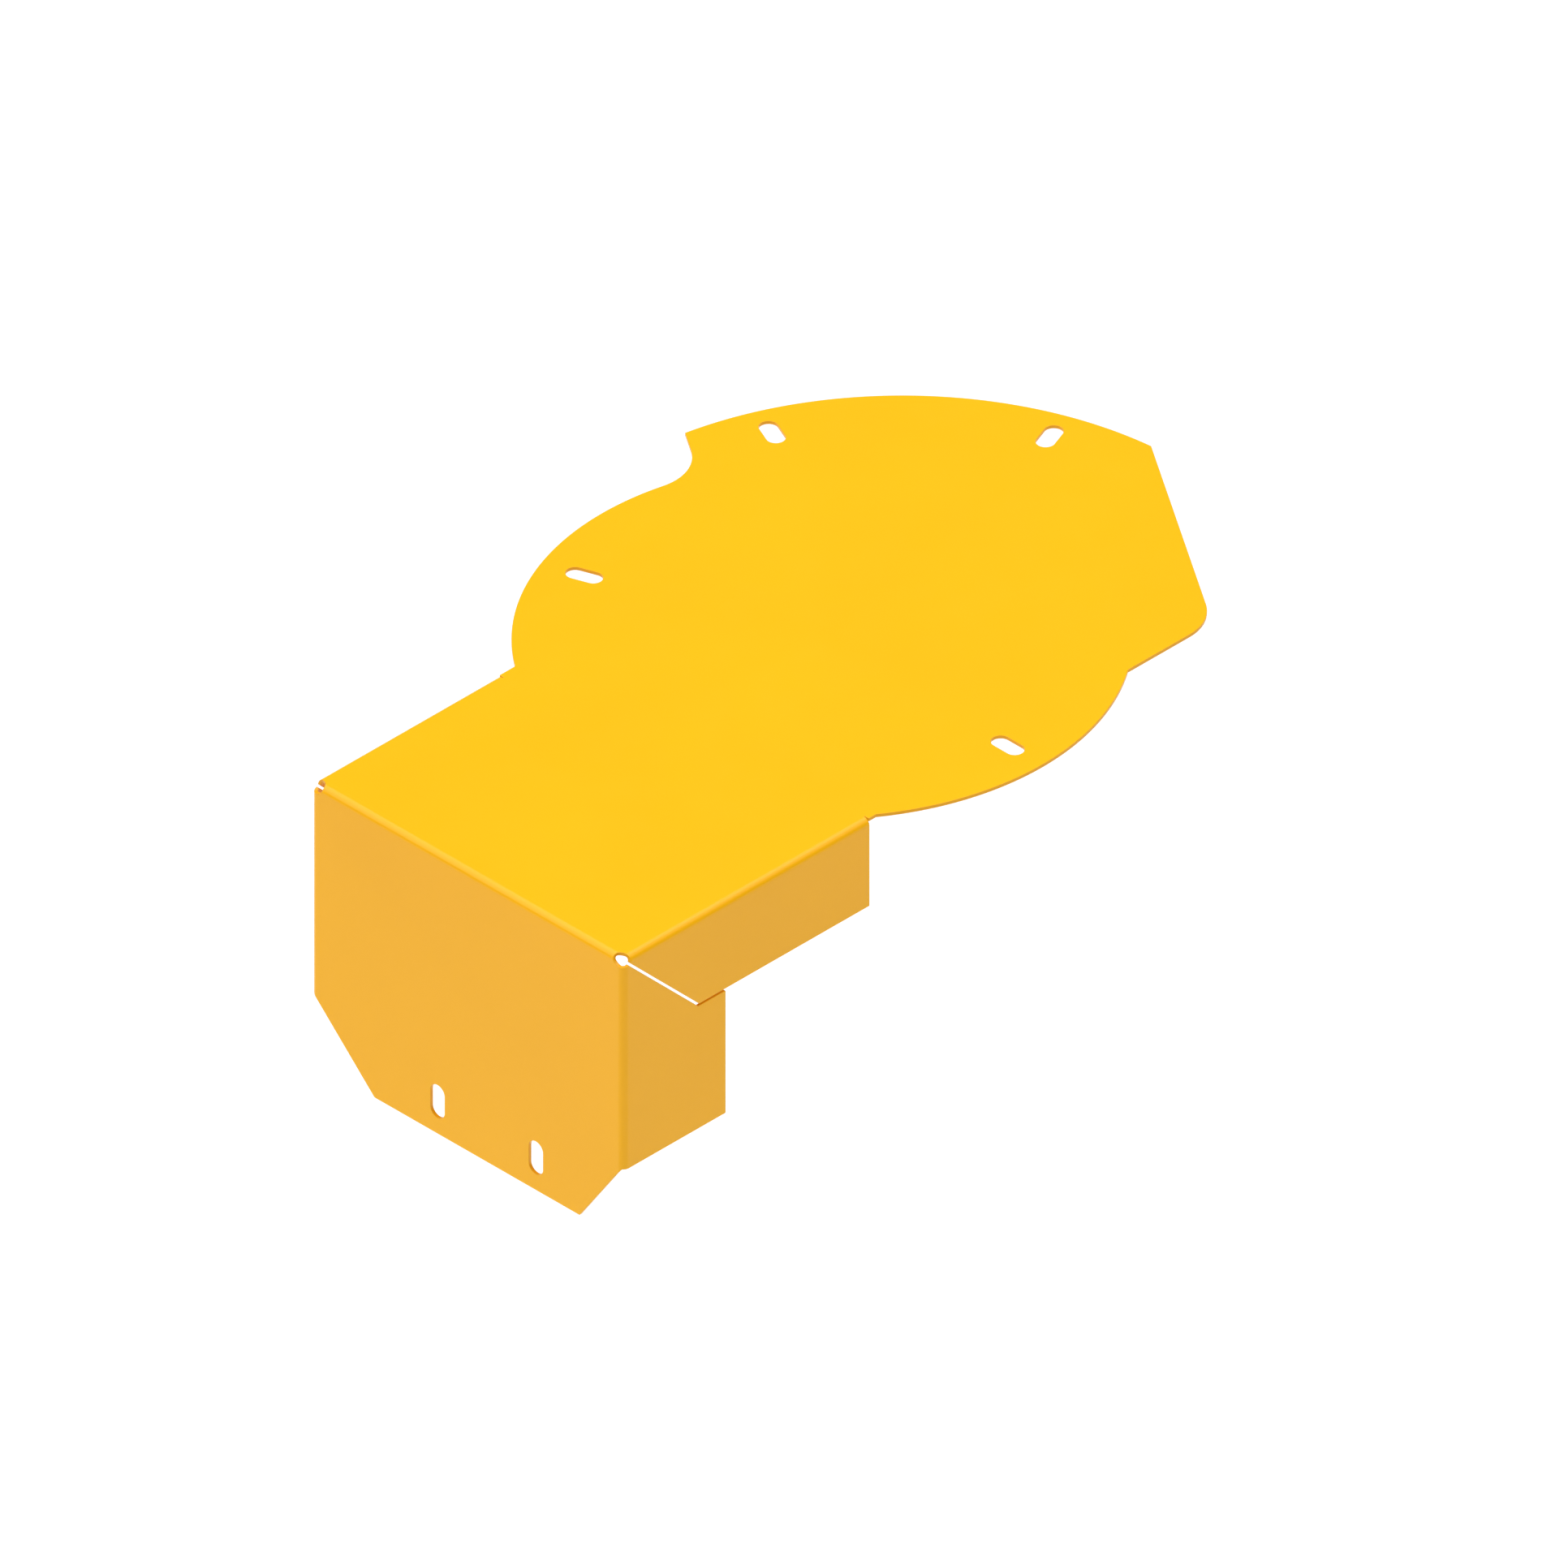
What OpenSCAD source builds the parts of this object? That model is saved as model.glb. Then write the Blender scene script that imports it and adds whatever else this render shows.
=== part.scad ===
// Folded sheet-steel machine guard. One laser-cut blank, bent down along its front and side edges.
// Origin: centre of the round lobe, on the plate's underside. +X right, +Y back, +Z up, in millimetres.

/* [Sheet] */
// Thickness of the steel sheet
sheet_t = 2; // [1.5:0.5:4]
// Inside radius of every bend
bend_r = 2; // [1:0.5:4]
// Part of the thickness, from the inside, where the neutral line of a bend lies
k_factor = 0.44; // [0.3:0.01:0.5]

/* [Front box] */
// Width over the outer faces of the two side flanges
box_w = 224; // [190:1:270]
// How far the box's middle plane lies to the right of the lobe's centre
box_shift = 18; // [0:1:25]
// From the front panel's outer face back to the lobe's centre
front_y = 272.5; // [240:0.5:340]
// Height of the front panel, from the plate's upper face to its bottom edge
panel_h = 173; // [140:1:220]
// From the panel's bottom edge up to the upper ends of its foot chamfers
foot_h = 42.5; // [30:0.5:60]
// From the left outer face to the left end of the panel's bottom edge
foot_left = 45.5; // [20:0.5:60]
// From the right outer face to the right end of the panel's bottom edge
foot_right = 31.5; // [20:0.5:45]
// From an outer face to the upper end of each foot chamfer
chamfer_in = 2.2; // [1:0.1:4]

/* [Side flanges and returns] */
// Height of a side flange, from the plate's upper face to its bottom edge
flange_h = 53.5; // [40:0.5:70]
// From the right side flange's rear end back to where the lobe leaves the plate's side edge
flange_gap_right = 5.5; // [2:0.5:30]
// From the left side flange's rear end back to where the lobe leaves the plate's side edge
flange_gap_left = 11.5; // [2:0.5:30]
// How much further back a return flange reaches than the side flange's mitre runs down
return_past = 20; // [10:0.5:40]
// Width of the mitre slits and of the gaps between side flanges and returns
slit_w = 1.3; // [0.8:0.1:3]
// How far the relief hole where three bends meet reaches past the bends' inner edges
relief_past = 2.35; // [1:0.05:4]

/* [Plate] */
// Radius of the round lobe
lobe_r = 157.5; // [150:0.5:175]
// Radius of the curved back edge
back_r = 200; // [190:1:230]
// From the lobe's centre back to the centre of the curved back edge
back_y = 39.5; // [25:0.5:50]
// Direction that the two straight back edges face
edge_angle = 56.25; // [50:0.25:62]
// From the back edge's centre to the long straight edge
far_edge = 154; // [140:0.5:165]
// From the back edge's centre to the short straight edge beside the notch
near_edge = 75.5; // [65:0.5:85]
// How far the plate's plain side edges stand in from the flanges' outer faces
edge_in = 1; // [0:0.5:2]
// Radius of the tab's rounded corner
tab_r = 30; // [15:1:40]
// Radius of the notch between the lobe and the short straight edge
notch_r = 30; // [15:1:40]

/* [Slots] */
// Width of every slot
slot_w = 10; // [6:0.5:14]
// Length of every slot, end to end
slot_l = 20; // [16:0.5:26]
// From the lobe's edge in to the centres of its two slots
lobe_slot_in = 24.5; // [15:0.5:45]
// Direction of the right lobe slot
lobe_slot_a = 0; // [-20:1:20]
// Direction of the left lobe slot
lobe_slot_b = 200; // [185:1:205]
// From the back edge in to the centres of its two slots
back_slot_in = 20; // [15:0.5:40]
// Direction of the rear back slot
back_slot_a = 110.5; // [105:0.5:125]
// Direction of the left back slot
back_slot_b = 156.5; // [140:0.5:160]
// Distance between the two slots in the front panel
front_slot_gap = 70.5; // [50:0.5:90]
// From the box's middle plane to the point midway between the front slots
front_slot_shift = 14; // [0:0.5:20]
// From the panel's bottom edge up to the centres of the front slots
front_slot_up = 20; // [14:0.5:40]

/* [Hidden] */
$fn = 96;

bend_out = bend_r + sheet_t;
// Length of a bend along its neutral line, and how far in from the outer face its fold line lies
bend_arc = PI / 2 * (bend_r + k_factor * sheet_t);
fold_in = bend_out - bend_arc / 2;
relief_r = bend_out - fold_in + relief_past;

box_right = box_shift + box_w / 2;
box_left = box_shift - box_w / 2;
plate_right = box_right - edge_in;
plate_left = box_left + edge_in;

// Sizes of the flanges, measured from the front panel's outer face or from the plate's upper face
flange_right = front_y - sqrt(lobe_r ^ 2 - plate_right ^ 2) - flange_gap_right;
flange_left = front_y - sqrt(lobe_r ^ 2 - plate_left ^ 2) - flange_gap_left;
return_d = flange_h + return_past;
return_h = panel_h - foot_h;

back_c = [box_shift, back_y];
edge_n = [cos(edge_angle), sin(edge_angle)];
edge_dir = [-edge_n[1], edge_n[0]];

// A margin by which cutting shapes pass through what they cut
past = 1;
// Longer than any half-plane that trims the plate
reach = 3 * back_r;

// Centre of the tab's rounded corner: tab_r inside both the plain right edge and the long straight edge
tab_cx = plate_right - tab_r;
tab_cy = back_y + (far_edge - tab_r - (tab_cx - back_c[0]) * edge_n[0]) / edge_n[1];
tab_c = [tab_cx, tab_cy];

// Centre of the notch: notch_r outside both the lobe and the short straight edge
notch_base = back_c - (near_edge + notch_r) * edge_n;
notch_along = notch_base * edge_dir;
notch_c = notch_base
    + (sqrt((lobe_r + notch_r) ^ 2 - notch_base * notch_base + notch_along ^ 2) - notch_along) * edge_dir;

function polar(r, a) = [r * cos(a), r * sin(a)];

// ---- the flat plate ----

module slot_2d() {
    half = (slot_l - slot_w) / 2;
    translate([-half, 0])
        circle(d = slot_w);
    translate([half, 0])
        circle(d = slot_w);
    square([2 * half, slot_w], center = true);
}

module radial_slot_2d(centre, r, a) {
    translate(centre + polar(r, a))
        rotate(a)
            slot_2d();
}

module plate_slots_2d() {
    radial_slot_2d([0, 0], lobe_r - lobe_slot_in, lobe_slot_a);
    radial_slot_2d([0, 0], lobe_r - lobe_slot_in, lobe_slot_b);
    radial_slot_2d(back_c, back_r - back_slot_in, back_slot_a);
    radial_slot_2d(back_c, back_r - back_slot_in, back_slot_b);
}

// Between the bends, and out to the plain side edges behind the side flanges
module neck_2d() {
    translate([box_left + bend_out, bend_out - front_y])
        square([box_w - 2 * bend_out, front_y - bend_out]);
    translate([plate_left, flange_left - front_y])
        square([-plate_left, front_y - flange_left]);
    translate([0, flange_right - front_y])
        square([plate_right, front_y - flange_right]);
}

// The curved back edge between the two straight edges, down to the lobe's middle
module back_2d() {
    intersection() {
        translate(back_c)
            circle(back_r);
        translate(back_c)
            rotate(edge_angle)
                translate([-near_edge, -reach])
                    square([near_edge + far_edge, 2 * reach]);
        translate([-reach, 0])
            square([reach + plate_right, reach]);
    }
}

module notch_fill_2d() {
    difference() {
        intersection() {
            polygon([[0, 0], notch_c * lobe_r / (lobe_r + notch_r), notch_c, notch_c + notch_r * edge_n]);
            translate(back_c)
                circle(back_r);
        }
        translate(notch_c)
            circle(notch_r);
    }
}

module tab_corner_2d() {
    out = tab_r + past;
    difference() {
        polygon([tab_c, tab_c + [out, 0], tab_c + out * [1, tan(edge_angle / 2)], tab_c + out * edge_n]);
        translate(tab_c)
            circle(tab_r);
    }
}

module plate_2d() {
    difference() {
        union() {
            circle(lobe_r);
            notch_fill_2d();
            difference() {
                union() {
                    neck_2d();
                    back_2d();
                }
                tab_corner_2d();
            }
        }
        plate_slots_2d();
    }
}

module plate() {
    linear_extrude(sheet_t)
        plate_2d();
}

// ---- the bends and what hangs from them ----
// From here on the origin is an upper front corner of the box: outer face, front face, upper face.

module bend_section_2d() {
    intersection() {
        difference() {
            circle(bend_out);
            circle(bend_r);
        }
        square(bend_out);
    }
}

// Stands a shape drawn as [depth, height] upright, and makes it thick to the right
module upright_y(thick) {
    rotate([90, 0, 90])
        linear_extrude(thick)
            children();
}

module side_bend(length) {
    translate([-bend_out, length, -bend_out])
        rotate([90, 0, 0])
            linear_extrude(length - bend_out)
                bend_section_2d();
}

module side_flange(length) {
    mitre = slit_w / sqrt(2);
    translate([-sheet_t, 0, 0])
        upright_y(sheet_t)
            polygon([
                [bend_out + mitre, -bend_out],
                [flange_h + mitre, -flange_h],
                [length, -flange_h],
                [length, -bend_out],
            ]);
}

module return_bend() {
    translate([-bend_out, bend_out, -panel_h])
        linear_extrude(panel_h - bend_out)
            mirror([0, 1])
                bend_section_2d();
}

module return_flange() {
    mitre = slit_w / sqrt(2);
    top = flange_h + slit_w;
    translate([-sheet_t, 0, 0])
        upright_y(sheet_t)
            polygon([
                [bend_out, -bend_out - mitre],
                [top - mitre, -top],
                [return_d, -top],
                [return_d, -return_h],
                [bend_out, -return_h],
            ]);
}

// Three round cuts square to the three faces, each through the corner's bends only
module corner_relief() {
    deep = bend_out + past;
    translate([-fold_in, fold_in, -bend_out])
        cylinder(h = deep, r = relief_r);
    translate([-fold_in, bend_out, -fold_in])
        rotate([90, 0, 0])
            cylinder(h = deep, r = relief_r);
    translate([-bend_out, fold_in, -fold_in])
        rotate([0, 90, 0])
            cylinder(h = deep, r = relief_r);
}

// Places what is drawn at a corner at the box's right corner, or mirrored at its left one
module at_right() {
    translate([box_right, -front_y, sheet_t])
        children();
}

module at_left() {
    translate([box_left, -front_y, sheet_t])
        mirror([1, 0, 0])
            children();
}

// ---- the front panel ----

module front_bend() {
    translate([box_left + bend_out, bend_out - front_y, sheet_t - bend_out])
        upright_y(box_w - 2 * bend_out)
            mirror([1, 0])
                bend_section_2d();
}

// Front view of the panel with both return bends: chamfers cut its lower corners
module panel_2d() {
    top = sheet_t - bend_out;
    wing = sheet_t - return_h;
    foot = sheet_t - panel_h;
    polygon([
        [box_left, top],
        [box_left, wing],
        [box_left + chamfer_in, wing],
        [box_left + foot_left, foot],
        [box_right - foot_right, foot],
        [box_right - chamfer_in, wing],
        [box_right, wing],
        [box_right, top],
    ]);
}

module front_slots_2d() {
    for (side = [-1, 1])
        translate([box_shift + front_slot_shift + side * front_slot_gap / 2,
                   sheet_t - panel_h + front_slot_up])
            rotate(90)
                slot_2d();
}

// Stands a front view upright, from the front face back by the depth given
module front_view(depth) {
    translate([0, depth - front_y, 0])
        rotate([90, 0, 0])
            linear_extrude(depth)
                children();
}

module front_wall() {
    difference() {
        intersection() {
            union() {
                translate([box_left + bend_out, -front_y, sheet_t - panel_h])
                    cube([box_w - 2 * bend_out, sheet_t, panel_h - bend_out]);
                at_right()
                    return_bend();
                at_left()
                    return_bend();
            }
            front_view(bend_out)
                panel_2d();
        }
        front_view(bend_out)
            front_slots_2d();
    }
}

// ---- the whole part ----

module folded_guard() {
    color("gold")
        difference() {
            union() {
                plate();
                front_bend();
                front_wall();
                at_right() {
                    side_bend(flange_right);
                    side_flange(flange_right);
                    return_flange();
                }
                at_left() {
                    side_bend(flange_left);
                    side_flange(flange_left);
                    return_flange();
                }
            }
            at_right()
                corner_relief();
            at_left()
                corner_relief();
        }
}

folded_guard();
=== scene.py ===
"""Looks of the folded sheet-steel machine guard.

The flat blank is laid out with its holes, given a rounded rim along every cut edge, and folded as on a
press brake. It is finished in yellow powder coat.
"""
from math import acos, asin, atan2, ceil, cos, hypot, pi, radians, sin, sqrt, tan

import bpy
import numpy as np
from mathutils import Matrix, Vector
from mathutils.geometry import delaunay_2d_cdt


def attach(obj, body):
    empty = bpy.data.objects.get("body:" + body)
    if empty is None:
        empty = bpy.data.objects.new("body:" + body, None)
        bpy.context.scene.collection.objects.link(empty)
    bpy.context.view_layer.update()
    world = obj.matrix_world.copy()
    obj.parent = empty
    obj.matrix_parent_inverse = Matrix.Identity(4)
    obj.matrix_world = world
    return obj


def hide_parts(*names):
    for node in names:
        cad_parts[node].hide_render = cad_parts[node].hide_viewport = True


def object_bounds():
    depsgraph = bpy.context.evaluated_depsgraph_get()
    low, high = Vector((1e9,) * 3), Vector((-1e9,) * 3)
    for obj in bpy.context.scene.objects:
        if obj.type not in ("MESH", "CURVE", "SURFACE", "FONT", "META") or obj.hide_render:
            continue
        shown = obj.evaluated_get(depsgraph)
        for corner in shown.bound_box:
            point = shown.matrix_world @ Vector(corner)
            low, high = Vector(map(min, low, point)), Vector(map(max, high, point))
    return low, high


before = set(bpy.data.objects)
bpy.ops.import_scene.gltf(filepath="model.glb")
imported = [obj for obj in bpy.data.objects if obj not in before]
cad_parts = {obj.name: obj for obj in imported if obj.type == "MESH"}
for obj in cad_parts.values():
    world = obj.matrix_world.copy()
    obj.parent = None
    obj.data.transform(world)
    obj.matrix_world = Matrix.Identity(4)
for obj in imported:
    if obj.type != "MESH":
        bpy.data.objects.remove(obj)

NODE = "folded_guard"
MM = 0.001
cad_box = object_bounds()

# ---- sizes in millimetres and degrees, as in the CAD ----
SHEET_T = 2.0
BEND_R = 2.0                    # inside radius of every bend
K_FACTOR = 0.44
BOX_W = 224.0                   # over the side flanges
BOX_SHIFT = 18.0                # their middle, from the lobe's centre
FRONT_Y = 272.5                 # the front panel's outer face, from the lobe's centre
PANEL_H = 173.0                 # from the plate's upper face to the panel's foot
FOOT_H = 42.5                   # height of the panel's chamfers
FOOT_LEFT = 45.5                # their lower ends, from the side flanges' outer faces
FOOT_RIGHT = 31.5
CHAMFER_IN = 2.2                # and their upper ends
FLANGE_H = 53.5
FLANGE_GAP_RIGHT = 5.5          # from a side flange's rear end to the lobe
FLANGE_GAP_LEFT = 11.5
RETURN_PAST = 20.0              # how much deeper a return is than the side flange is high
SLIT_W = 1.3
LOBE_R = 157.5
BACK_R = 200.0
BACK_Y = 39.5                   # the back circle's centre, from the lobe's
EDGE_ANGLE = radians(56.25)     # square to the back's slanted edge and to the notch's straight one
FAR_EDGE = 154.0                # the slanted edge, from the back circle's centre
NEAR_EDGE = 75.5                # the notch's edge, on the centre's other side
EDGE_IN = 1.0                   # the flat plate's plain edge, inside the side flanges' outer faces
TAB_R = 30.0
NOTCH_R = 30.0
SLOT_W = 10.0
SLOT_L = 20.0
LOBE_SLOT_IN = 24.5             # a slot's centre, inside the lobe's edge
LOBE_SLOT_ANGLES = (0.0, 200.0)
BACK_SLOT_IN = 20.0             # and inside the back circle's
BACK_SLOT_ANGLES = (110.5, 156.5)
FRONT_SLOT_GAP = 70.5           # between the front slots' centres
FRONT_SLOT_SHIFT = 14.0         # their middle, from the panel's
FRONT_SLOT_UP = 20.0            # their centres, above the panel's foot

# ---- relief hole in the flat blank, fitted to its opening in the photo ----
HOLE_OUT = 1.75                 # its centre, past the start of the side bend and of the front bend
HOLE_DOWN = 2.36
HOLE_HALF_U = 5.45              # its half-axes
HOLE_HALF_V = 3.80

# ---- finish of the cut edges ----
EDGE_ROUND = 0.28               # radius that the coat gives every cut edge
CORNER_ROUND = 0.5              # radius of the outline's sharp corners, in plan
CORNER_SHARE = 0.45             # most of a side that a corner's arc may take
CORNER_CLEAR = 1.2              # straight stretch beside a slit's corner, so that its arc has room
TEAR_W = 0.24                   # hairline where a side flange's bend ends beside the flat plate

# ---- fineness of the mesh ----
CHORD = 4.0                     # longest step along an arc
ARC_STEP = radians(4)
HOLE_STEP = radians(3.5)
CORNER_STEP = radians(15)
SMOOTH_TURN = radians(8)        # a smaller turn of the outline isn't a corner
ROUND_STEPS = 4                 # in each quarter of a rim
BEND_STEPS = 12                 # in each bend
NORMAL_STEP = 1e-3              # how far either way the fold is tried, for a rim's direction
ON_LINE = 1e-6                  # a point this near a bend line lies on it
CROSSING = 1e-9                 # a side crosses a line when its ends' distances multiply to more
END_SHARE = 1e-4                # a crossing within this share of a side's end is left out
MERGE = 1e-7                    # points nearer than this are one, to the triangulation

BEND_OUT = BEND_R + SHEET_T
BEND_ARC = pi / 2 * (BEND_R + K_FACTOR * SHEET_T)
MITRE = SLIT_W / sqrt(2)
BOX_RIGHT = BOX_SHIFT + BOX_W / 2
BOX_LEFT = BOX_SHIFT - BOX_W / 2
PLATE_RIGHT = BOX_RIGHT - EDGE_IN
PLATE_LEFT = BOX_LEFT + EDGE_IN
FLANGE_END_RIGHT = -sqrt(LOBE_R ** 2 - PLATE_RIGHT ** 2) - FLANGE_GAP_RIGHT
FLANGE_END_LEFT = -sqrt(LOBE_R ** 2 - PLATE_LEFT ** 2) - FLANGE_GAP_LEFT
RETURN_D = FLANGE_H + RETURN_PAST
RETURN_H = PANEL_H - FOOT_H
RETURN_TOP = FLANGE_H + SLIT_W

# Flat blank: u runs along X and v along Y. The plate keeps its place, and the rest lies flat around it.
BEND_U = BOX_RIGHT - BEND_OUT           # where a right bend starts
WALL_U = BEND_U + BEND_ARC              # where the flat behind it starts
BEND_V = BEND_OUT - FRONT_Y             # where the front bend starts
WALL_V = BEND_V - BEND_ARC              # where the front panel starts
FORK_V = BEND_V - BEND_ARC / 2          # side flange above it, return below it
HOLE_C = (BEND_U + HOLE_OUT, BEND_V - HOLE_DOWN)


def out_u(down):
    """u of a point on a right flange, from its distance to the sheet's outer face round the bend."""
    return WALL_U + down - BEND_OUT


def down_v(down):
    """v of a point on the front panel, from how far it lies below the plate's upper face."""
    return WALL_V - (down - BEND_OUT)


def polar(r, a, centre=(0.0, 0.0)):
    return (centre[0] + r * cos(a), centre[1] + r * sin(a))


def arc(centre, r, a0, a1):
    """Points from angle a0 to a1 about the centre, both ends included."""
    n = max(2, ceil(abs(a1 - a0) * r / CHORD), ceil(abs(a1 - a0) / ARC_STEP))
    return [polar(r, a0 + (a1 - a0) * i / n, centre) for i in range(n + 1)]


def at_hole(p, q):
    """The angle, on the relief hole's ellipse, where the line from p to q enters it."""
    px, qx = ((x - HOLE_C[0]) / HOLE_HALF_U for x in (p[0], q[0]))
    py, qy = ((y - HOLE_C[1]) / HOLE_HALF_V for y in (p[1], q[1]))
    dx, dy = qx - px, qy - py
    a, b, c = dx * dx + dy * dy, 2 * (px * dx + py * dy), px * px + py * py - 1
    t = (-b - sqrt(b * b - 4 * a * c)) / (2 * a)
    return atan2(py + t * dy, px + t * dx)


def on_hole(a):
    return (HOLE_C[0] + HOLE_HALF_U * cos(a), HOLE_C[1] + HOLE_HALF_V * sin(a))


def hole_edge(a0, a1):
    """The relief hole's edge round from the slit's one side to the other, less a stretch beside either."""
    a0 -= CORNER_CLEAR / hypot(HOLE_HALF_U * sin(a0), HOLE_HALF_V * cos(a0))
    a1 += CORNER_CLEAR / hypot(HOLE_HALF_U * sin(a1), HOLE_HALF_V * cos(a1))
    n = ceil(abs(a1 - a0) / HOLE_STEP)
    return [on_hole(a0 + (a1 - a0) * i / n) for i in range(n + 1)]


def angle_at(p, centre):
    return atan2(p[1] - centre[1], p[0] - centre[0])


def right_side(foot, flange_end):
    """The blank's outline right of the middle, from the panel's foot up to the flat plate's plain edge."""
    chamfer_angle = asin((BEND_OUT - CHAMFER_IN) / (BEND_OUT - SHEET_T / 2))
    chamfer_u = BEND_U + chamfer_angle / (pi / 2) * BEND_ARC
    slit_low = (out_u(RETURN_TOP - MITRE), down_v(RETURN_TOP))
    slit_high = (out_u(FLANGE_H), -FRONT_Y + FLANGE_H + MITRE)
    low = at_hole(slit_low, (out_u(BEND_OUT), down_v(BEND_OUT + MITRE)))
    high = at_hole(slit_high, (out_u(BEND_OUT), -FRONT_Y + BEND_OUT + MITRE)) - 2 * pi
    return [
        (BOX_RIGHT - foot, down_v(PANEL_H)),
        (chamfer_u, down_v(RETURN_H)),
        (out_u(RETURN_D), down_v(RETURN_H)),
        (out_u(RETURN_D), down_v(RETURN_TOP)),
        slit_low,
        on_hole(low),
        *hole_edge(low, high),
        on_hole(high),
        slit_high,
        (out_u(FLANGE_H), flange_end),
        (BEND_U, flange_end),
        (BEND_U, flange_end + TEAR_W),
        (PLATE_RIGHT, flange_end + TEAR_W),
    ]


def blank_outline():
    """The whole blank's outline, anticlockwise."""
    n = (cos(EDGE_ANGLE), sin(EDGE_ANGLE))
    along = (-n[1], n[0])
    back_c = (BOX_SHIFT, BACK_Y)
    tab_x = PLATE_RIGHT - TAB_R
    tab_c = (tab_x, BACK_Y + (FAR_EDGE - TAB_R - (tab_x - BOX_SHIFT) * n[0]) / n[1])
    base = [back_c[i] - (NEAR_EDGE + NOTCH_R) * n[i] for i in (0, 1)]
    base_along = base[0] * along[0] + base[1] * along[1]
    shift = sqrt((LOBE_R + NOTCH_R) ** 2 - base[0] ** 2 - base[1] ** 2 + base_along ** 2) - base_along
    notch_c = tuple(base[i] + shift * along[i] for i in (0, 1))
    to_lobe = atan2(-notch_c[1], -notch_c[0])
    lobe_right = acos(PLATE_RIGHT / LOBE_R)
    lobe_left = 2 * pi - acos(PLATE_LEFT / LOBE_R)
    back_a0 = EDGE_ANGLE + acos(FAR_EDGE / BACK_R)
    back_a1 = EDGE_ANGLE + acos(-NEAR_EDGE / BACK_R)
    left = [(2 * BOX_SHIFT - u, v) for u, v in right_side(FOOT_LEFT, FLANGE_END_LEFT)]
    return [
        *right_side(FOOT_RIGHT, FLANGE_END_RIGHT),
        *arc((0, 0), LOBE_R, -lobe_right, lobe_right),
        *arc(tab_c, TAB_R, 0, EDGE_ANGLE),
        *arc(back_c, BACK_R, back_a0, back_a1),
        *arc(notch_c, NOTCH_R, EDGE_ANGLE, to_lobe),
        *arc((0, 0), LOBE_R, pi + to_lobe, lobe_left)[1:],
        *reversed(left),
    ]


def slot_outline(centre, a):
    """An obround slot that points along angle a, clockwise."""
    half = (SLOT_L - SLOT_W) / 2
    ends = [polar(half, a, centre), polar(half, a + pi, centre)]
    points = arc(ends[0], SLOT_W / 2, a - pi / 2, a + pi / 2)
    points += arc(ends[1], SLOT_W / 2, a + pi / 2, a + 3 * pi / 2)
    return points[::-1]


def blank_slots():
    slots = []
    for centre, r, angles in (((0.0, 0.0), LOBE_R - LOBE_SLOT_IN, LOBE_SLOT_ANGLES),
                              ((BOX_SHIFT, BACK_Y), BACK_R - BACK_SLOT_IN, BACK_SLOT_ANGLES)):
        slots += [slot_outline(polar(r, radians(a), centre), radians(a)) for a in angles]
    for side in (-1, 1):
        u = BOX_SHIFT + FRONT_SLOT_SHIFT + side * FRONT_SLOT_GAP / 2
        slots.append(slot_outline((u, down_v(PANEL_H - FRONT_SLOT_UP)), pi / 2))
    return slots


def rounded(points):
    """The closed outline with each sharp corner turned into a small arc."""
    result = []
    count = len(points)
    for i in range(count):
        p, q, r = (np.array(points[(i + k) % count]) for k in (-1, 0, 1))
        a, b = p - q, r - q
        la, lb = np.linalg.norm(a), np.linalg.norm(b)
        a, b = a / la, b / lb
        turn = pi - acos(max(-1.0, min(1.0, float(a @ b))))
        if turn < SMOOTH_TURN:
            result.append(tuple(q))
            continue
        cut = min(CORNER_ROUND * tan(turn / 2), CORNER_ROUND, CORNER_SHARE * la, CORNER_SHARE * lb)
        radius = cut / tan(turn / 2)
        centre = q + (a + b) / np.linalg.norm(a + b) * hypot(cut, radius)
        start, end = angle_at(q + a * cut, centre), angle_at(q + b * cut, centre)
        sweep = (end - start + pi) % (2 * pi) - pi
        steps = max(3, ceil(turn / CORNER_STEP))
        result += [polar(radius, start + sweep * k / steps, centre) for k in range(steps + 1)]
    return result


BEND_LINES_U = [BEND_U + BEND_ARC * k / BEND_STEPS for k in range(BEND_STEPS + 1)]
BEND_LINES_U += [2 * BOX_SHIFT - u for u in BEND_LINES_U]
BEND_LINES_V = [BEND_V - BEND_ARC * k / BEND_STEPS for k in range(BEND_STEPS + 1)]
BEND_LINES = [(0, line) for line in BEND_LINES_U] + [(1, line) for line in BEND_LINES_V]


def bends_at(axis, line, v):
    """Whether a bend line holds as far back as v: the side bends end with their flanges."""
    return axis == 1 or v < (FLANGE_END_LEFT if line < BOX_SHIFT else FLANGE_END_RIGHT)


def loop_with_insets(points):
    """The closed outline's points, and one more at every bend line, each with its outward direction."""
    p = np.array(points)
    ahead = np.roll(p, -1, axis=0) - p
    ahead /= np.linalg.norm(ahead, axis=1)[:, None]
    right = np.stack([ahead[:, 1], -ahead[:, 0]], axis=1)
    before = np.roll(right, 1, axis=0)
    out = (right + before) / (1 + (right * before).sum(axis=1))[:, None]
    rows = []
    for i in range(len(p)):
        j = (i + 1) % len(p)
        rows.append((p[i], out[i]))
        a, b = p[i] - EDGE_ROUND * out[i], p[j] - EDGE_ROUND * out[j]
        cuts = []
        for axis, line in BEND_LINES:
            if (a[axis] - line) * (b[axis] - line) < -CROSSING and bends_at(axis, line, a[1]):
                t = (line - a[axis]) / (b[axis] - a[axis])
                if END_SHARE < t < 1 - END_SHARE:
                    cuts.append(t)
        for t in sorted(cuts):
            rows.append((p[i] * (1 - t) + p[j] * t, out[i] * (1 - t) + out[j] * t))
    return rows


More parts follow.
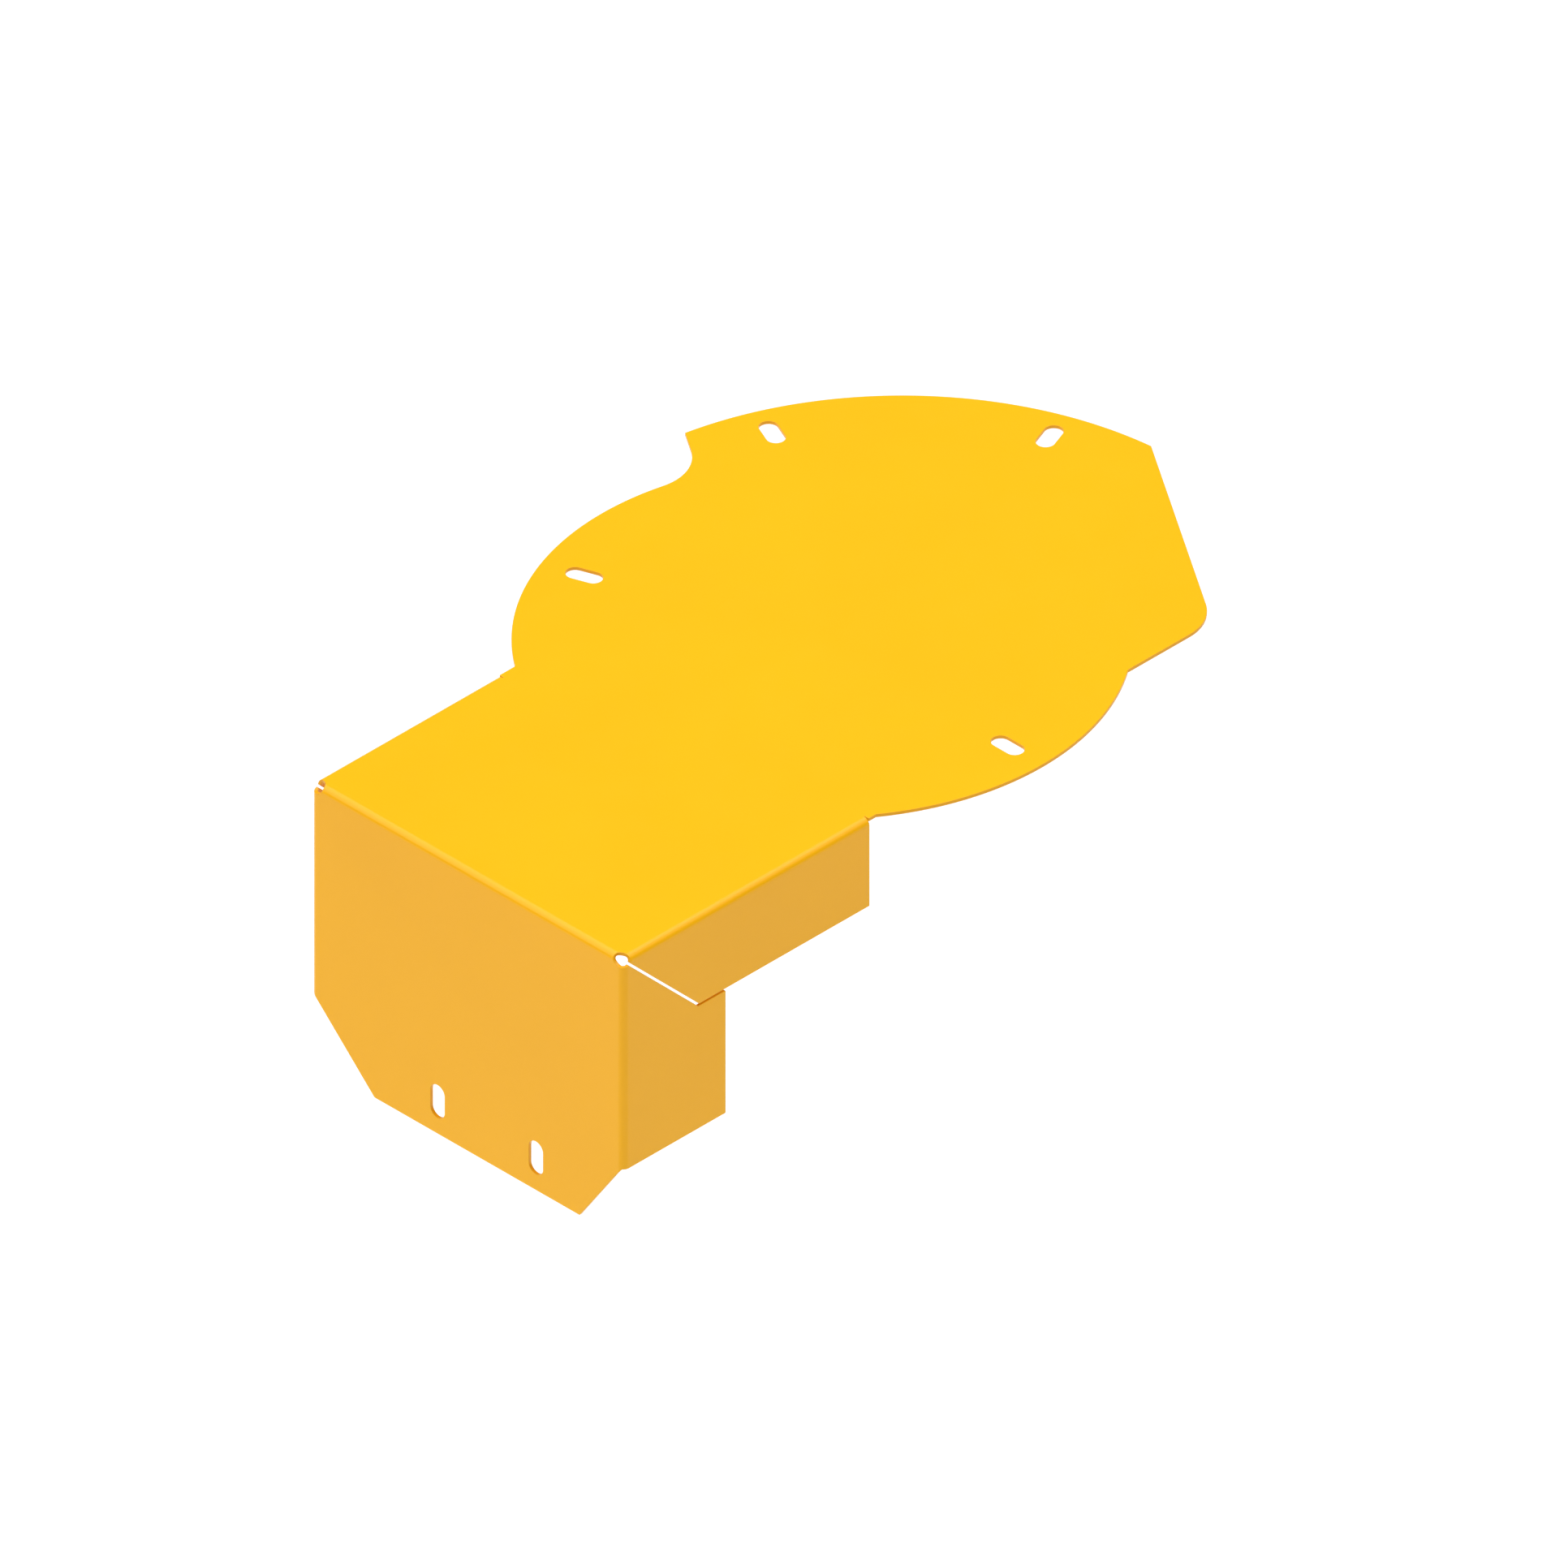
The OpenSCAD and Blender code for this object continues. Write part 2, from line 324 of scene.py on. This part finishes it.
def bend(s, d):
    """How far out and how far down a bend leads, at s along it and depth d under the outer face."""
    if s <= BEND_ARC:
        a = s / BEND_ARC * pi / 2
        return (BEND_OUT - d) * sin(a), BEND_OUT - (BEND_OUT - d) * cos(a)
    return BEND_OUT - d, BEND_OUT + s - BEND_ARC


def fold(u, v, d):
    """Where a point of the blank, at depth d under the outer face, lies on the folded guard."""
    mirrored = u < BOX_SHIFT
    if mirrored:
        u = 2 * BOX_SHIFT - u
    flange_end = FLANGE_END_LEFT if mirrored else FLANGE_END_RIGHT
    x, y, z = u, v, SHEET_T - d
    if u > BEND_U and FORK_V < v < flange_end + TEAR_W / 2:
        side, down = bend(u - BEND_U, d)
        x, z = BEND_U + side, SHEET_T - down
    elif v < BEND_V:
        forward, down = bend(BEND_V - v, d)
        y, z = BEND_V - forward, SHEET_T - down
        if u > BEND_U:
            side, back = bend(u - BEND_U, d)
            x, y = BEND_U + side, -FRONT_Y + back
    return np.array((2 * BOX_SHIFT - x if mirrored else x, y, z))


def unit(a):
    return a / np.linalg.norm(a)


def inside(loops, q):
    """Which of the points q lie in the material."""
    result = np.zeros(len(q), bool)
    for loop in loops:
        a, b = loop, np.roll(loop, -1, axis=0)
        for (ax, ay), (bx, by) in zip(a, b):
            hit = (ay > q[:, 1]) != (by > q[:, 1])
            result ^= hit & (q[:, 0] < ax + (q[:, 1] - ay) * (bx - ax) / ((by - ay) or 1.0))
    return result


def blank_edges(flat):
    """All loops' points, and the edges that the triangulation keeps: the loops and the bend lines."""
    points = np.concatenate(flat)
    edges, start = [], 0
    for loop in flat:
        count = len(loop)
        edges += [(start + i, start + (i + 1) % count) for i in range(count)]
        start += count
    for axis, line in BEND_LINES:
        on = [i for i, p in enumerate(points)
              if abs(p[axis] - line) < ON_LINE and bends_at(axis, line, p[1])]
        on.sort(key=lambda i: points[i][1 - axis])
        pairs = list(zip(on, on[1:]))
        middles = np.array([(points[i] + points[j]) / 2 for i, j in pairs]).reshape(-1, 2)
        edges += [pair for pair, keep in zip(pairs, inside(flat, middles)) if keep]
    return points, edges


def blank_triangles(flat):
    """The blank's skin within the rims, as triples of indices into the loops' points."""
    points, edges = blank_edges(flat)
    made = delaunay_2d_cdt([Vector(p) for p in points], edges, [], 0, MERGE)
    places = np.array([tuple(v) for v in made[0]])
    tris = np.array([f for f in made[2]])
    tris = tris[inside(flat, places[tris].mean(axis=1))]
    return [tuple(made[3][k][0] for k in t) for t in tris]


def rim_section():
    """A rim from the outer skin to the inner one: inset, depth, and how far it faces outward and upward."""
    quarter = [pi / 2 * k / ROUND_STEPS for k in range(ROUND_STEPS + 1)]
    upper = [(EDGE_ROUND * (1 - sin(a)), EDGE_ROUND * (1 - cos(a)), sin(a), cos(a)) for a in quarter]
    return upper + [(inset, SHEET_T - depth, side, -rise) for inset, depth, side, rise in reversed(upper)]


def build_guard():
    """One closed mesh: the blank's two skins, and a rounded rim along every cut edge."""
    loops = [loop_with_insets(outline) for outline in (rounded(blank_outline()), *blank_slots())]
    section = rim_section()
    verts, normals, faces, rim, index = [], [], [], [], []
    for loop in loops:
        rows = []
        for p, m in loop:
            row = []
            step = unit(m) * NORMAL_STEP
            for inset, depth, side, rise in section:
                q = p - inset * m
                skin = unit(fold(*q, 0.0) - fold(*q, SHEET_T))
                across = unit(fold(*(q + step), depth) - fold(*(q - step), depth))
                row.append(len(verts))
                verts.append(fold(*q, depth) * MM)
                normals.append(unit(side * across + rise * skin))
                rim.append(float(0 < side))
            rows.append(row)
        index += [(row[0], row[-1]) for row in rows]
        for a, b in zip(rows, rows[1:] + rows[:1]):
            faces += [(a[k], a[k + 1], b[k + 1], b[k]) for k in range(len(section) - 1)]
    for t in blank_triangles([np.array([p - EDGE_ROUND * m for p, m in loop]) for loop in loops]):
        a, b, c = (index[k] for k in t)
        faces += [(a[0], b[0], c[0]), (a[1], c[1], b[1])]
    mesh = bpy.data.meshes.new("guard_sheet")
    mesh.from_pydata([tuple(v) for v in verts], [], faces)
    mesh.polygons.foreach_set("use_smooth", [True] * len(mesh.polygons))
    mesh.normals_split_custom_set_from_vertices([tuple(n) for n in normals])
    attribute = mesh.attributes.new("cut_edge", "FLOAT", "POINT")
    attribute.data.foreach_set("value", rim)
    mesh.update()
    obj = bpy.data.objects.new("guard_sheet", mesh)
    bpy.context.scene.collection.objects.link(obj)
    return obj


guard = build_guard()


# ---- yellow powder coat ----
DEEP_YELLOW = (0.905, 0.434, 0.0003, 1)
LIGHT_YELLOW = (0.930, 0.450, 0.0006, 1)
PAINTED_EDGE_SHADE = (0.62, 0.26, 0.012, 1)      # painted shade on the cut edges' rims, darker and browner
EDGE_SHADE_SHARE = 0.35
COAT_IOR = 1.5
COAT_SPECULAR = 0.25
ROUGHNESS = (0.22, 0.28)
PATCHES = dict(Scale=9.0, Detail=3.0)
PATCH_SPAN = (0.3, 0.7)                 # the noise values of the deep yellow and the light one
HAZE = dict(Scale=45.0, Detail=4.0)
PEEL = dict(Scale=650.0, Detail=1.5)    # orange peel about 1.5 mm across
PEEL_BUMP = dict(Strength=0.25, Distance=0.00008)
GRAIN = dict(Scale=3200.0, Detail=1.0)  # a finer grain in it
GRAIN_BUMP = dict(Strength=0.2, Distance=0.00002)


def node(tree, kind, place, **values):
    made = tree.nodes.new(kind)
    made.location = place
    for name, value in values.items():
        if hasattr(made, name):
            setattr(made, name, value)
        else:
            made.inputs[name.replace("_", " ")].default_value = value
    return made


def powder_coat():
    mat = bpy.data.materials.new("powder_coat_yellow")
    mat.use_nodes = True
    tree = mat.node_tree
    tree.nodes.clear()
    link = tree.links.new
    out = node(tree, "ShaderNodeOutputMaterial", (900, 0))
    shader = node(tree, "ShaderNodeBsdfPrincipled", (600, 0))
    shader.inputs["Metallic"].default_value = 0.0
    shader.inputs["IOR"].default_value = COAT_IOR
    shader.inputs["Specular IOR Level"].default_value = COAT_SPECULAR
    link(shader.outputs["BSDF"], out.inputs["Surface"])
    place = node(tree, "ShaderNodeTexCoord", (-1100, 0))

    # colour: a little deeper or lighter in slow patches, and painted shade on the cut edges, darker and
    # browner
    patches = node(tree, "ShaderNodeTexNoise", (-850, 250), **PATCHES)
    link(place.outputs["Object"], patches.inputs["Vector"])
    tone = node(tree, "ShaderNodeValToRGB", (-650, 250))
    for element, position, colour in zip(tone.color_ramp.elements, PATCH_SPAN, (DEEP_YELLOW, LIGHT_YELLOW)):
        element.position = position
        element.color = colour
    link(patches.outputs["Fac"], tone.inputs["Fac"])
    # painted shade: the cut edges' rims are mixed part way towards a darker brown
    edge = node(tree, "ShaderNodeAttribute", (-650, 0), attribute_name="cut_edge")
    edge_shade = node(tree, "ShaderNodeMath", (-450, 0), operation="MULTIPLY")
    edge_shade.inputs[1].default_value = EDGE_SHADE_SHARE
    link(edge.outputs["Fac"], edge_shade.inputs[0])
    mix = node(tree, "ShaderNodeMixRGB", (-250, 150))
    mix.inputs["Color2"].default_value = PAINTED_EDGE_SHADE
    link(edge_shade.outputs["Value"], mix.inputs["Fac"])
    link(tone.outputs["Color"], mix.inputs["Color1"])
    link(mix.outputs["Color"], shader.inputs["Base Color"])

    # gloss: semi-gloss, a little uneven
    haze = node(tree, "ShaderNodeTexNoise", (-850, -150), **HAZE)
    link(place.outputs["Object"], haze.inputs["Vector"])
    gloss = node(tree, "ShaderNodeMapRange", (-450, -150))
    gloss.inputs["To Min"].default_value, gloss.inputs["To Max"].default_value = ROUGHNESS
    link(haze.outputs["Fac"], gloss.inputs["Value"])
    link(gloss.outputs["Result"], shader.inputs["Roughness"])

    # surface: orange peel, with a finer grain in it
    peel = node(tree, "ShaderNodeTexNoise", (-850, -450), **PEEL)
    grain = node(tree, "ShaderNodeTexNoise", (-850, -700), **GRAIN)
    link(place.outputs["Object"], peel.inputs["Vector"])
    link(place.outputs["Object"], grain.inputs["Vector"])
    coarse = node(tree, "ShaderNodeBump", (50, -450), **PEEL_BUMP)
    fine = node(tree, "ShaderNodeBump", (300, -450), **GRAIN_BUMP)
    link(peel.outputs["Fac"], coarse.inputs["Height"])
    link(grain.outputs["Fac"], fine.inputs["Height"])
    link(coarse.outputs["Normal"], fine.inputs["Normal"])
    link(fine.outputs["Normal"], shader.inputs["Normal"])
    return mat


guard.data.materials.append(powder_coat())
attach(guard, "root")
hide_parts(NODE)

# ---- floor ----
FLOOR_HALF = 8.0                        # half the floor's side, in metres
FLOOR_DROP = 0.75                       # from the guard's top down to it: the guard hangs on its machine
FLOOR_PALE = (0.87, 0.87, 0.87, 1)
FLOOR_ROUGHNESS = 0.9
FLOOR_SPECULAR = 0.1

top_z = cad_box[1].z
floor_z = top_z - FLOOR_DROP
floor_mesh = bpy.data.meshes.new("floor")
corners = [(FLOOR_HALF * x, FLOOR_HALF * y, floor_z) for x, y in ((-1, -1), (1, -1), (1, 1), (-1, 1))]
floor_mesh.from_pydata(corners, [], [(0, 1, 2, 3)])
floor = bpy.data.objects.new("floor", floor_mesh)
bpy.context.scene.collection.objects.link(floor)
pale = bpy.data.materials.new("floor_pale")
pale.use_nodes = True
pale_inputs = pale.node_tree.nodes["Principled BSDF"].inputs
pale_inputs["Base Color"].default_value = FLOOR_PALE
pale_inputs["Roughness"].default_value = FLOOR_ROUGHNESS
pale_inputs["Specular IOR Level"].default_value = FLOOR_SPECULAR
floor_mesh.materials.append(pale)

# ---- soft studio light ----
SKY_STRENGTH = 0.18
SUNS = {                                # towards the light, strength, angular width in degrees
    "overhead": ((-0.11, 0.08, 1.0), 2.76, 75),
    "front_left": ((-0.60, -0.52, 0.60), 0.91, 46),
    "back_right": ((0.31, 0.60, 0.68), 0.48, 44),
    "front_right": ((0.60, -0.76, 0.2), 0.44, 50),
}

world = bpy.data.worlds.new("studio")
bpy.context.scene.world = world
world.use_nodes = True
world.node_tree.nodes["Background"].inputs["Color"].default_value = (1, 1, 1, 1)
world.node_tree.nodes["Background"].inputs["Strength"].default_value = SKY_STRENGTH
for name, (towards, strength, width) in SUNS.items():
    light = bpy.data.lights.new(name, "SUN")
    light.energy = strength
    light.angle = radians(width)
    sun = bpy.data.objects.new(name, light)
    sun.rotation_mode = "QUATERNION"
    sun.rotation_quaternion = Vector(towards).to_track_quat("Z", "Y")
    bpy.context.scene.collection.objects.link(sun)

bpy.context.scene.view_settings.view_transform = "Standard"

# ---- camera: orthographic, at the photo's angle and scale ----
AZIMUTH, ELEVATION = radians(45), radians(35)
FRAME_W = 0.79468956                    # what the photo spans, in metres
CENTRE_RIGHT, CENTRE_UP = 0.08144, 0.08961      # its middle, from the guard's near upper corner
CAMERA_FAR = 2.0
CAMERA_CLIP = 20

corner = Vector((BOX_RIGHT * MM, -FRONT_Y * MM, top_z))
back = Vector((sin(AZIMUTH) * cos(ELEVATION), -cos(AZIMUTH) * cos(ELEVATION), sin(ELEVATION)))
right = Vector((cos(AZIMUTH), sin(AZIMUTH), 0))
up = back.cross(right)
centre = corner + right * CENTRE_RIGHT + up * CENTRE_UP
camera_data = bpy.data.cameras.new("camera")
camera_data.type = "ORTHO"
camera_data.ortho_scale = FRAME_W
camera_data.clip_end = CAMERA_CLIP
camera = bpy.data.objects.new("camera", camera_data)
camera.location = centre + back * CAMERA_FAR
camera.rotation_mode = "QUATERNION"
camera.rotation_quaternion = back.to_track_quat("Z", "Y")
bpy.context.scene.collection.objects.link(camera)
bpy.context.scene.camera = camera
